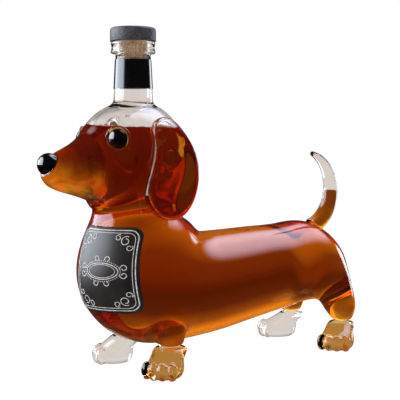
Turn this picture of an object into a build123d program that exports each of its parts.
from build123d import *
import math
import os

# Long-bodied dog figural decanter: a hollow blown-glass body with hot-fused ears, tail and paws,
# black glass eyes and nose, a label on the chest and a bar-top cork stopper in its neck.
# Millimetres. +Z is up, the dog faces -Y, and its left side is +X. The origin is on the table,
# under the middle of the decanter's length.

# Overall
overall_length = 257.0  # from the tip of the nose to the back of the rump
lip_z = 212.8  # height of the glass rim, on which the stopper's cap rests

# Glass
wall = 3.0  # blown glass of the body, head and legs
ear_wall = 2.0  # glass of the hollow ears
tail_wall = 2.4  # glass of the tail's hollow root
tail_hollow = 0.5  # share of the tail's sweep that is hollow; the rest is solid glass
seat_depth = 1.2  # how deep the eyes and the nose are sunk into the glass

# Neck and finish
neck_back = 69.6  # the neck's axis, behind the tip of the nose
neck_bore_radius = 9.25
neck_base_radius = 12.85
neck_top_radius = 11.2
neck_base_z = 173.0
finish_radius = 14.4
finish_height = 7.7
finish_round = 1.2
groove_depth = 0.5  # the line between the finish's two beads

# Sleeve shrunk on the neck
sleeve_low_z = 182.6
sleeve_high_z = 201.2
sleeve_thickness = 0.35

# Stopper
cap_radius = 14.8
cap_height = 9.0
cap_round = 2.2
cap_recess = 3.0  # the cork's top is glued this deep into the cap
cork_length = 27.0  # below the cap
cork_clearance = 0.05  # around the cork, in the bore
cork_chamfer = 1.2

# Head
head_z = 141.0  # its widest level
head_half_width = 29.5
head_half_length = 35.3
head_ahead = 1.8  # how far its middle is ahead of the neck's axis
head_height = 34.0  # from the widest level to where its dome would close

# Throat and bend
throat_back = 69.6  # its middle, behind the tip of the nose
throat_half_width = 25.2
throat_half_length = 26.2
chest_half_width = 36.2
nape_back = 126.0  # the pivot inside the bend from back to neck, behind the tip of the nose
nape_z = 106.5
nape_radius = 18.6

# Long body, a slowly tapering roll
body_climb = 5.0  # degrees, rising to the rear
shoulder_radius = 34.8
loin_radius = 29.9
rump_depth = 36.5  # length of its rounded end
rump_drop = 9.0  # how far the rounded end sinks below the body's line

# Muzzle, nose and eyes
muzzle_z = 129.3
muzzle_rise = 0.08  # per millimetre, towards the head
nose_radius = 6.2
nose_z = 135.0
nose_lift = 30.0  # degrees, how far it looks up
eye_radius = 6.4
eye_bulge = 4.2  # height of its dome
eye_in = 8.7  # from the head's widest side
eye_back = 44.0
eye_z = 150.7
eye_turn = 44.0  # degrees, how far each looks outwards from straight ahead
brow_radius = 12.5
brow_sink = 10.8  # from the eye's rim to the centre of the round brow behind it
ridge_radius = 8.5  # the ridge over each eye
ridge_x = 15.0
ridge_back = 53.5
ridge_z = 158.0
rim_tube = 1.1  # of the clear ring round the eye
backing_radius = 11.0  # the round pad of glass that backs each eye inside the head
backing_ahead = 9.5  # its centre, ahead of the eye's rim

# Legs and paws
ankle_z = 18.0  # the solid paws are fused to the hollow legs at this level
front_ankle_x = 25.5
front_leg_back = 80.3
front_ankle_radius = 9.6
rear_ankle_x = 26.5
rear_leg_in = 23.0  # ahead of the back of the rump
rear_ankle_radius = 8.3
paw_splay = 30.0  # degrees, how far the paws point outwards
paw_width = 24.0
front_paw_length = 28.8
rear_paw_length = 30.6
heel_overhang = 4.0  # how far the ankle stands behind the heel
toe_count = 4
toe_radius = 3.7
toe_middle_z = 5.5
toe_half_height = 5.9

# Ears
ear_out = 3.1  # from the head's widest side to the middle of the ear's thickness, at mid height
ear_back = 76.0
ear_z = 132.0
ear_lean = 8.0  # degrees
ear_thickness = 9.0
ear_edge = 4.5  # how far its edge is rounded in
ear_port_radius = 4.5
ear_port_z = 138.0

# Tail
tail_in = 37.0  # the centre of its arc, ahead of the back of the rump
tail_rise = 51.43  # the centre of its arc, above the body's middle line at the loin
tail_bend_radius = 28.6
tail_root_radius = 6.3
tail_tip_radius = 2.0
tail_root_angle = -72.0  # degrees, from level and rearward
tail_tip_angle = 70.0

# Liquor and label
liquor_z = 158.0
fill_gap = 0.4  # between the liquor and the walls of the ears
label_turn = 23.0  # degrees, from the dog's front towards its left
label_width = 45.0
label_height = 54.0
label_z = 69.0
label_corner = 7.0
label_thickness = 0.4

ear_x = head_half_width + ear_out
eye_x = head_half_width - eye_in
front_end = -overall_length / 2
rear_end = overall_length / 2
neck_y = front_end + neck_back
nape_y = front_end + nape_back
ear_y = front_end + ear_back
front_leg_y = front_end + front_leg_back
rear_leg_y = rear_end - rear_leg_in
tail_y = rear_end - tail_in
body_slope = math.tan(math.radians(body_climb))
shoulder_z = nape_z - nape_radius - shoulder_radius
loin_y = rear_end - rump_depth
loin_z = shoulder_z + (loin_y - nape_y) * body_slope
tail_z = loin_z + tail_rise
rounding = [0.0, 0.35, 0.62, 0.82, 0.93, 0.98]


def slice_plane(x, y, z, climb):
    """A plane across a form that travels forward and climbs by an angle."""
    turn = math.radians(climb)
    return Plane(origin=(x, y, z), x_dir=(1, 0, 0), z_dir=(0, -math.cos(turn), math.sin(turn)))


def half_loft(slices):
    """The left half of a form, through half-elliptical slices that stand across the middle plane."""
    with BuildPart() as form:
        for plane, half_x, half_y in slices:
            with BuildSketch(plane):
                with BuildLine():
                    EllipticalCenterArc((0, 0), half_x, half_y, start_angle=-90, arc_size=180)
                    Line((0, half_y), (0, -half_y))
                make_face()
        loft()
    return form.part


def trunk(inset):
    """The left half of rump, long body, chest, throat and head, through slices that follow the bend."""
    slices = []
    for share in reversed(rounding):
        shrink = math.sqrt(1 - share**2)
        y = loin_y + (rump_depth - inset) * share
        z = loin_z - rump_drop * share**1.2
        half = (loin_radius - inset) * shrink
        slices.append((slice_plane(0, y, z, -body_climb), half, half))
    for share in [0.78, 0.54, 0.30]:
        y = nape_y + (loin_y - nape_y) * share
        z = shoulder_z + (y - nape_y) * body_slope
        half = loin_radius + (shoulder_radius - loin_radius) * (1 - share) ** 1.3 - inset
        slices.append((slice_plane(0, y, z, -body_climb), half, half))
    # angle about the nape, share of the chest's width, inner and outer distance from the pivot
    bend = [
        (0.0, 0.965, nape_radius, nape_radius + 2 * shoulder_radius),
        (15.0, 0.98, nape_radius, 93.2),
        (30.0, 0.995, nape_radius, 103.2),
        (46.0, 1.0, nape_radius + 0.2, 109.4),
        (64.0, 0.99, nape_radius + 1.8, 104.8),
        (79.0, 0.85, nape_radius + 7.8, 90.0),
    ]
    for angle, width_share, near, far in bend:
        turn = math.radians(angle)
        middle = (near + far) / 2
        plane = slice_plane(0, nape_y - middle * math.sin(turn), nape_z - middle * math.cos(turn), angle)
        slices.append((plane, chest_half_width * width_share - inset, (far - near) / 2 - inset))
    # height, middle behind the nose tip, and half sizes of the slices through throat and jaw
    throat = [
        (nape_z + 0.5, throat_back, throat_half_width, throat_half_length),
        (nape_z + 17.5, throat_back, throat_half_width + 2.2, throat_half_length + 5.8),
    ]
    for z, back, half_x, half_y in throat:
        slices.append((slice_plane(0, front_end + back, z, 90), half_x - inset, half_y - inset))
    for share in rounding[:-1]:
        shrink = math.sqrt(1 - share**2.4)
        y = neck_y - head_ahead * (1 - share**3)
        plane = slice_plane(0, y, head_z + (head_height - inset) * share, 90)
        slices.append((plane, (head_half_width - inset) * shrink, (head_half_length - inset) * shrink))
    return half_loft(slices)


def muzzle(inset):
    """The left half of the tapering muzzle, turned about its slightly rising axis, from its blunt tip."""
    # distance along the axis and radius
    profile = [
        (2.4, 1.6),
        (3.4, 4.8),
        (5.6, 7.8),
        (9.4, 10.4),
        (15.0, 13.0),
        (25.0, 16.6),
        (37.0, 20.0),
        (50.0, 22.5),
        (64.0, 23.5),
    ]
    before = [(2.4, -1.6)] + profile[:-1]
    after = profile[1:] + [(78.0, 23.5)]
    points = []
    for (back0, half0), (back, half), (back2, half2) in zip(before, profile, after):
        step = math.hypot(back2 - back0, half2 - half0)
        points.append((back + inset * (half2 - half0) / step, half - inset * (back2 - back0) / step))
    points[0] = (profile[0][0] + inset, profile[0][1])
    rise = math.atan(muzzle_rise)
    tip = Vector(0, front_end, muzzle_z)
    along = Vector(0, math.cos(rise), math.sin(rise))
    with BuildPart() as form:
        with BuildSketch(Plane(origin=tip, x_dir=along, z_dir=(1, 0, 0))):
            with BuildLine():
                Spline(*points, tangents=[(0, 1), (1, 0)])
                Polyline(points[-1], (points[-1][0], 0), (points[0][0], 0), points[0])
            make_face()
        revolve(axis=Axis(tip, along), revolution_arc=180)
    return form.part


def leg(ankle_x, ankle_y, profile, inset):
    """A short left leg, from its flat ankle up into the body; for an inset it keeps a floor of glass."""
    with BuildPart() as form:
        for rise, inward, forward, half_x, half_y in profile:
            z = ankle_z + max(rise, inset)
            with BuildSketch(Plane(origin=(ankle_x - inward, ankle_y - forward, z))):
                Ellipse(half_x - inset, half_y - inset)
        loft()
    return form.part


# height over the ankle, inward and forward shift, half sizes
front_profile = [
    (0.0, 0.0, 0.0, front_ankle_radius, front_ankle_radius),
    (9.0, -0.3, 0.2, front_ankle_radius + 0.2, front_ankle_radius + 0.8),
    (20.0, 2.0, 0.6, front_ankle_radius + 1.4, front_ankle_radius + 3.0),
    (36.0, 9.0, 1.0, front_ankle_radius + 1.6, front_ankle_radius + 5.0),
]
rear_profile = [
    (0.0, 0.0, 0.0, rear_ankle_radius, rear_ankle_radius),
    (4.0, -0.4, 0.2, rear_ankle_radius + 0.4, rear_ankle_radius + 1.4),
    (10.0, -0.6, 2.0, rear_ankle_radius + 1.4, rear_ankle_radius + 6.6),
    (17.0, 0.2, 3.8, rear_ankle_radius + 2.0, rear_ankle_radius + 7.8),
    (27.0, 2.3, 5.6, rear_ankle_radius + 2.2, rear_ankle_radius + 8.8),
    (37.0, 7.0, 4.6, rear_ankle_radius + 1.8, rear_ankle_radius + 9.0),
    (47.0, 13.5, 5.0, rear_ankle_radius + 0.5, rear_ankle_radius + 7.5),
]


def face_plane(x, y, z, turn, lift):
    """A plane on the head that looks outwards by an angle from straight ahead and up by another."""
    turn = math.radians(turn)
    lift = math.radians(lift)
    out = Vector(math.sin(turn) * math.cos(lift), -math.cos(turn) * math.cos(lift), math.sin(lift))
    return Plane(origin=(x, y, z), x_dir=(-out.Y, out.X, 0), z_dir=out)


eye_plane = face_plane(eye_x, front_end + eye_back, eye_z, eye_turn, 0)
nose_plane = face_plane(0, front_end + nose_radius, nose_z, 0, nose_lift)


def button(plane, radius, bulge):
    """A black glass dome with a short skirt below it, which is fused into a pocket."""
    ball = (radius**2 + bulge**2) / (2 * bulge)
    with BuildPart(plane) as form:
        with Locations((0, 0, bulge - ball)):
            Sphere(ball)
        Cylinder(radius, 2 * bulge, mode=Mode.INTERSECT)
        split(bisect_by=plane, keep=Keep.TOP)
        Cylinder(radius, seat_depth, align=(Align.CENTER, Align.CENTER, Align.MAX))
    return form.part


def pocket(plane, radius):
    """The room for a button's skirt, open outwards."""
    with BuildPart(plane) as form:
        with Locations((0, 0, -seat_depth)):
            Cylinder(radius, seat_depth + radius, align=(Align.CENTER, Align.CENTER, Align.MIN))
    return form.part


def brow():
    """The round brow behind the left eye and the ridge over it."""
    with BuildPart() as form:
        with Locations(eye_plane.offset(-brow_sink)):
            Sphere(brow_radius)
        with Locations((ridge_x, front_end + ridge_back, ridge_z)):
            Sphere(ridge_radius)
    return form.part


def hollow(inset):
    """The left half of the room inside the glass below the neck."""
    with BuildPart() as form:
        add(trunk(inset))
        add(muzzle(inset))
        add(leg(front_ankle_x, front_leg_y, front_profile, inset))
        add(leg(rear_ankle_x, rear_leg_y, rear_profile, inset))
        with Locations(nose_plane.origin):
            Sphere(nose_radius + inset, mode=Mode.SUBTRACT)
        with Locations(eye_plane.offset(backing_ahead).origin):
            Sphere(backing_radius + inset, mode=Mode.SUBTRACT)
    return form.part


def ear_flap(inset):
    """The left ear's hanging flap with its round edge; for an inset, the room inside it."""
    # distance behind and above the middle of the ear, round its edge
    outline = [
        (-12.4, 20.0),
        (-13.4, 8.0),
        (-17.8, -4.0),
        (-21.4, -14.5),
        (-19.0, -24.5),
        (-10.0, -31.4),
        (2.0, -31.8),
        (12.5, -24.0),
        (19.0, -11.0),
        (20.6, 3.0),
        (16.5, 15.5),
        (9.0, 26.0),
        (-1.0, 32.6),
        (-9.6, 30.0),
    ]
    lean = math.radians(ear_lean)
    out = Vector(math.cos(lean), 0, math.sin(lean))
    half = ear_thickness / 2 - inset
    with BuildPart() as form:
        for level in [-1.0, -0.94, -0.75, -0.42, 0.0, 0.42, 0.75, 0.94, 1.0]:
            shrink = inset + ear_edge * (1 - math.sqrt(1 - level**2))
            points = []
            for index, here in enumerate(outline):
                before = outline[index - 1]
                after = outline[(index + 1) % len(outline)]
                along = (after[0] - before[0], after[1] - before[1])
                size = math.hypot(*along)
                points.append((here[0] - shrink * along[1] / size, here[1] + shrink * along[0] / size))
            middle = Vector(ear_x, ear_y, ear_z) + out * (half * level)
            with BuildSketch(Plane(origin=middle, x_dir=(0, 1, 0), z_dir=out)):
                with BuildLine():
                    Spline(*points, periodic=True)
                make_face()
        loft(ruled=inset > 0)
    return form.part


def ear_core(inset):
    """The room inside the left ear, with its port through both walls into the head."""
    with BuildPart() as form:
        add(ear_flap(inset))
        add(trunk(-inset), mode=Mode.SUBTRACT)
        reach = ear_x - head_half_width * 0.6
        with BuildSketch(Plane(origin=(head_half_width * 0.6, ear_y, ear_port_z), z_dir=(1, 0, 0))):
            Circle(ear_port_radius + ear_wall - inset)
        extrude(amount=reach)
    return form.part


def tail_roll(inset, last):
    """The tail's tapering arc up to a share of its sweep; for an inset, the room inside it."""
    with BuildPart() as form:
        for step in range(9):
            share = last * step / 8
            angle = tail_root_angle + (tail_tip_angle - tail_root_angle) * share
            turn = math.radians(angle)
            y = tail_y + tail_bend_radius * math.cos(turn)
            z = tail_z + tail_bend_radius * math.sin(turn)
            radius = tail_root_radius - (tail_root_radius - tail_tip_radius) * share**2.6 - inset
            way = (0, -math.sin(turn), math.cos(turn))
            with BuildSketch(Plane(origin=(0, y, z), x_dir=(1, 0, 0), z_dir=way)):
                Circle(radius)
        loft()
        if inset == 0:
            with Locations((0, y, z)):
                Sphere(radius, rotation=(0, 45, 0))
    return form.part


def paw(side, ankle_x, ankle_y, ankle_radius, length):
    """A solid paw: a rounded foot under the ankle, turned outwards, with its toes; side is 1 or -1."""
    turn = math.radians(side * paw_splay)
    ahead = Vector(math.sin(turn), -math.cos(turn), 0)
    across = Vector(math.cos(turn), math.sin(turn), 0)
    ankle = Vector(side * ankle_x, ankle_y, 0)
    reach = length / 2 + heel_overhang - ankle_radius
    half = length / 2 - 1.2
    # height, share of the way from the ankle to the middle of the paw, and half sizes
    slices = [
        (0.0, 1.0, paw_width / 2 - 3.6, half - 4.0),
        (1.4, 1.0, paw_width / 2 - 1.4, half - 1.6),
        (4.0, 1.0, paw_width / 2 - 0.2, half - 0.2),
        (8.0, 0.92, paw_width / 2 - 0.4, half - 0.4),
        (13.0, 0.50, (paw_width / 2 + ankle_radius) / 2, (half + ankle_radius) / 2 + 0.2),
        (ankle_z, 0.0, ankle_radius, ankle_radius),
    ]
    with BuildPart() as form:
        for z, share, half_x, half_y in slices:
            middle = ankle + ahead * (reach * share) + Vector(0, 0, z)
            with BuildSketch(Plane(origin=middle, x_dir=across, z_dir=(0, 0, 1))):
                Ellipse(half_x, half_y)
        loft()
        for toe in range(toe_count):
            place = (toe - (toe_count - 1) / 2) / ((toe_count - 1) / 2)
            aside = place * (paw_width / 2 - toe_radius + 0.3)
            front = reach + (length / 2 - toe_radius) * math.sqrt(1 - (0.62 * place) ** 2)
            foot = ankle + ahead * front + across * aside
            with BuildSketch(Plane(origin=foot + Vector(0, 0, toe_middle_z), x_dir=across, z_dir=ahead)):
                Ellipse(toe_radius, toe_half_height)
                with Locations((-toe_radius, 0)):
                    Rectangle(2 * toe_radius, 4 * toe_half_height, mode=Mode.SUBTRACT)
                with Locations((0, -toe_middle_z)):
                    Rectangle(4 * toe_radius, 20, align=(Align.CENTER, Align.MAX), mode=Mode.SUBTRACT)
            revolve(axis=Axis(foot, (0, 0, 1)))
    return form.part


# Neck with its two-bead finish, turned about the neck's axis
def neck_radius(z):
    """Outside of the tapering neck at a height."""
    top = lip_z - finish_height
    return neck_base_radius + (neck_top_radius - neck_base_radius) * (z - neck_base_z) / (top - neck_base_z)


finish_z = lip_z - finish_height
bead_z = lip_z - finish_height * 0.55
neck_plane = Plane(origin=(0, neck_y, 0), x_dir=(1, 0, 0), z_dir=(0, -1, 0))
neck_axis = Axis((0, neck_y, 0), (0, 0, 1))
neck_start_z = head_z + head_height * 0.6

outer_body = trunk(0)
left_room = hollow(wall)
ear_room = ear_core(ear_wall)
tail_room = tail_roll(tail_wall, tail_hollow)

with BuildPart() as left_glass:
    add(outer_body)
    add(muzzle(0))
    add(leg(front_ankle_x, front_leg_y, front_profile, 0))
    add(leg(rear_ankle_x, rear_leg_y, rear_profile, 0))
    add(brow())
    add(pocket(eye_plane, eye_radius), mode=Mode.SUBTRACT)
    add(pocket(nose_plane, nose_radius), mode=Mode.SUBTRACT)
    with BuildSketch(neck_plane) as neck_section:
        with BuildLine():
            Polyline(
                (0, neck_start_z),
                (neck_radius(neck_base_z), neck_start_z),
                (neck_radius(neck_base_z), neck_base_z),
                (neck_radius(finish_z), finish_z),
                (finish_radius, finish_z),
                (finish_radius, bead_z - groove_depth),
                (finish_radius - groove_depth, bead_z),
                (finish_radius, bead_z + groove_depth),
                (finish_radius, lip_z),
                (0, lip_z),
                close=True,
            )
        make_face()
        fillet(neck_section.vertices().group_by(Axis.X)[-1], finish_round)
    revolve(axis=neck_axis)
    add(left_room, mode=Mode.SUBTRACT)
    with BuildSketch(Plane(origin=(0, neck_y, lip_z))):
        Circle(neck_bore_radius)
    extrude(amount=neck_start_z - lip_z, mode=Mode.SUBTRACT)
    add(ear_room, mode=Mode.SUBTRACT)
    add(tail_room, mode=Mode.SUBTRACT)
    split(bisect_by=Plane.YZ, keep=Keep.TOP)

with BuildPart() as glass_vessel:
    add(left_glass.part)
    mirror(about=Plane.YZ)

with BuildPart() as ear_left:
    add(ear_flap(0))
    add(outer_body, mode=Mode.SUBTRACT)
    add(ear_room, mode=Mode.SUBTRACT)
with BuildPart() as ear_right:
    mirror(ear_left.part, about=Plane.YZ)

with BuildPart() as left_tail:
    add(tail_roll(0, 1.0))
    add(outer_body, mode=Mode.SUBTRACT)
    add(tail_room, mode=Mode.SUBTRACT)
    split(bisect_by=Plane.YZ, keep=Keep.TOP)
with BuildPart() as tail:
    add(left_tail.part)
    mirror(about=Plane.YZ)

with BuildPart() as paw_front_left:
    add(paw(1, front_ankle_x, front_leg_y, front_ankle_radius, front_paw_length))
with BuildPart() as paw_front_right:
    add(paw(-1, front_ankle_x, front_leg_y, front_ankle_radius, front_paw_length))
with BuildPart() as paw_rear_left:
    add(paw(1, rear_ankle_x, rear_leg_y, rear_ankle_radius, rear_paw_length))
with BuildPart() as paw_rear_right:
    add(paw(-1, rear_ankle_x, rear_leg_y, rear_ankle_radius, rear_paw_length))

with BuildPart() as eye_left:
    add(button(eye_plane, eye_radius, eye_bulge))
with BuildPart() as eye_right:
    mirror(eye_left.part, about=Plane.YZ)
with BuildPart() as nose:
    add(button(nose_plane, nose_radius, nose_radius))

# The clear ring round an eye, turned about the eye's axis and resting on the brow
with BuildPart() as eye_rim_left:
    with BuildSketch(Plane(origin=eye_plane.origin, x_dir=eye_plane.x_dir, z_dir=-eye_plane.y_dir)):
        with Locations((eye_radius + 0.6 * rim_tube, 0)):
            Circle(rim_tube)
        Rectangle(2 * eye_radius, 4 * rim_tube, mode=Mode.SUBTRACT)
    revolve(axis=Axis(eye_plane.origin, eye_plane.z_dir))
    add(outer_body, mode=Mode.SUBTRACT)
    add(brow(), mode=Mode.SUBTRACT)
    add(left_glass.part, mode=Mode.SUBTRACT)
with BuildPart() as eye_rim_right:
    mirror(eye_rim_left.part, about=Plane.YZ)

with BuildPart() as neck_sleeve:
    with BuildSketch(neck_plane):
        with BuildLine():
            Polyline(
                (neck_radius(sleeve_low_z), sleeve_low_z),
                (neck_radius(sleeve_low_z) + sleeve_thickness, sleeve_low_z),
                (neck_radius(sleeve_high_z) + sleeve_thickness, sleeve_high_z),
                (neck_radius(sleeve_high_z), sleeve_high_z),
                close=True,
            )
        make_face()
    revolve(axis=neck_axis)

# The label is a thin skin that follows the chest
with BuildPart() as left_skin:
    add(trunk(-label_thickness))
    add(outer_body, mode=Mode.SUBTRACT)
label_turn_rad = math.radians(label_turn)
with BuildPart() as label:
    add(left_skin.part)
    mirror(about=Plane.YZ)
    label_plane = Plane(
        origin=(0, front_end + throat_back, label_z),
        x_dir=(math.cos(label_turn_rad), math.sin(label_turn_rad), 0),
        z_dir=(math.sin(label_turn_rad), -math.cos(label_turn_rad), 0),
    )
    with BuildSketch(label_plane):
        RectangleRounded(label_width, label_height, label_corner)
    extrude(amount=60, mode=Mode.INTERSECT)

with BuildPart() as stopper_cork:
    with Locations((0, neck_y, lip_z - cork_length)):
        Cylinder(
            neck_bore_radius - cork_clearance,
            cork_length + cap_recess,
            align=(Align.CENTER, Align.CENTER, Align.MIN),
        )
    chamfer(stopper_cork.edges().sort_by(Axis.Z)[0], cork_chamfer)

with BuildPart() as stopper_cap:
    with Locations((0, neck_y, lip_z)):
        Cylinder(cap_radius, cap_height, align=(Align.CENTER, Align.CENTER, Align.MIN))
    fillet(stopper_cap.edges().sort_by(Axis.Z)[-1], cap_round)
    fillet(stopper_cap.edges().sort_by(Axis.Z)[0], 0.6)
    add(stopper_cork.part, mode=Mode.SUBTRACT)

# The liquor fills the hollows of body, ears and tail up to its level
with BuildPart() as left_liquor:
    add(left_room)
    add(ear_core(ear_wall + fill_gap))
    add(tail_room)
    split(bisect_by=Plane(origin=(0, 0, liquor_z)), keep=Keep.BOTTOM)
    split(bisect_by=Plane.YZ, keep=Keep.TOP)
with BuildPart() as liquor:
    add(left_liquor.part)
    mirror(about=Plane.YZ)

pieces = {
    "glass_vessel": glass_vessel,
    "ear_left": ear_left,
    "ear_right": ear_right,
    "tail": tail,
    "paw_front_left": paw_front_left,
    "paw_front_right": paw_front_right,
    "paw_rear_left": paw_rear_left,
    "paw_rear_right": paw_rear_right,
    "eye_left": eye_left,
    "eye_right": eye_right,
    "eye_rim_left": eye_rim_left,
    "eye_rim_right": eye_rim_right,
    "nose": nose,
    "neck_sleeve": neck_sleeve,
    "label": label,
    "stopper_cork": stopper_cork,
    "stopper_cap": stopper_cap,
    "liquor": liquor,
}
os.makedirs("parts", exist_ok=True)
for name, piece in pieces.items():
    piece.part.label = name
    export_step(piece.part, "parts/" + name + ".step")
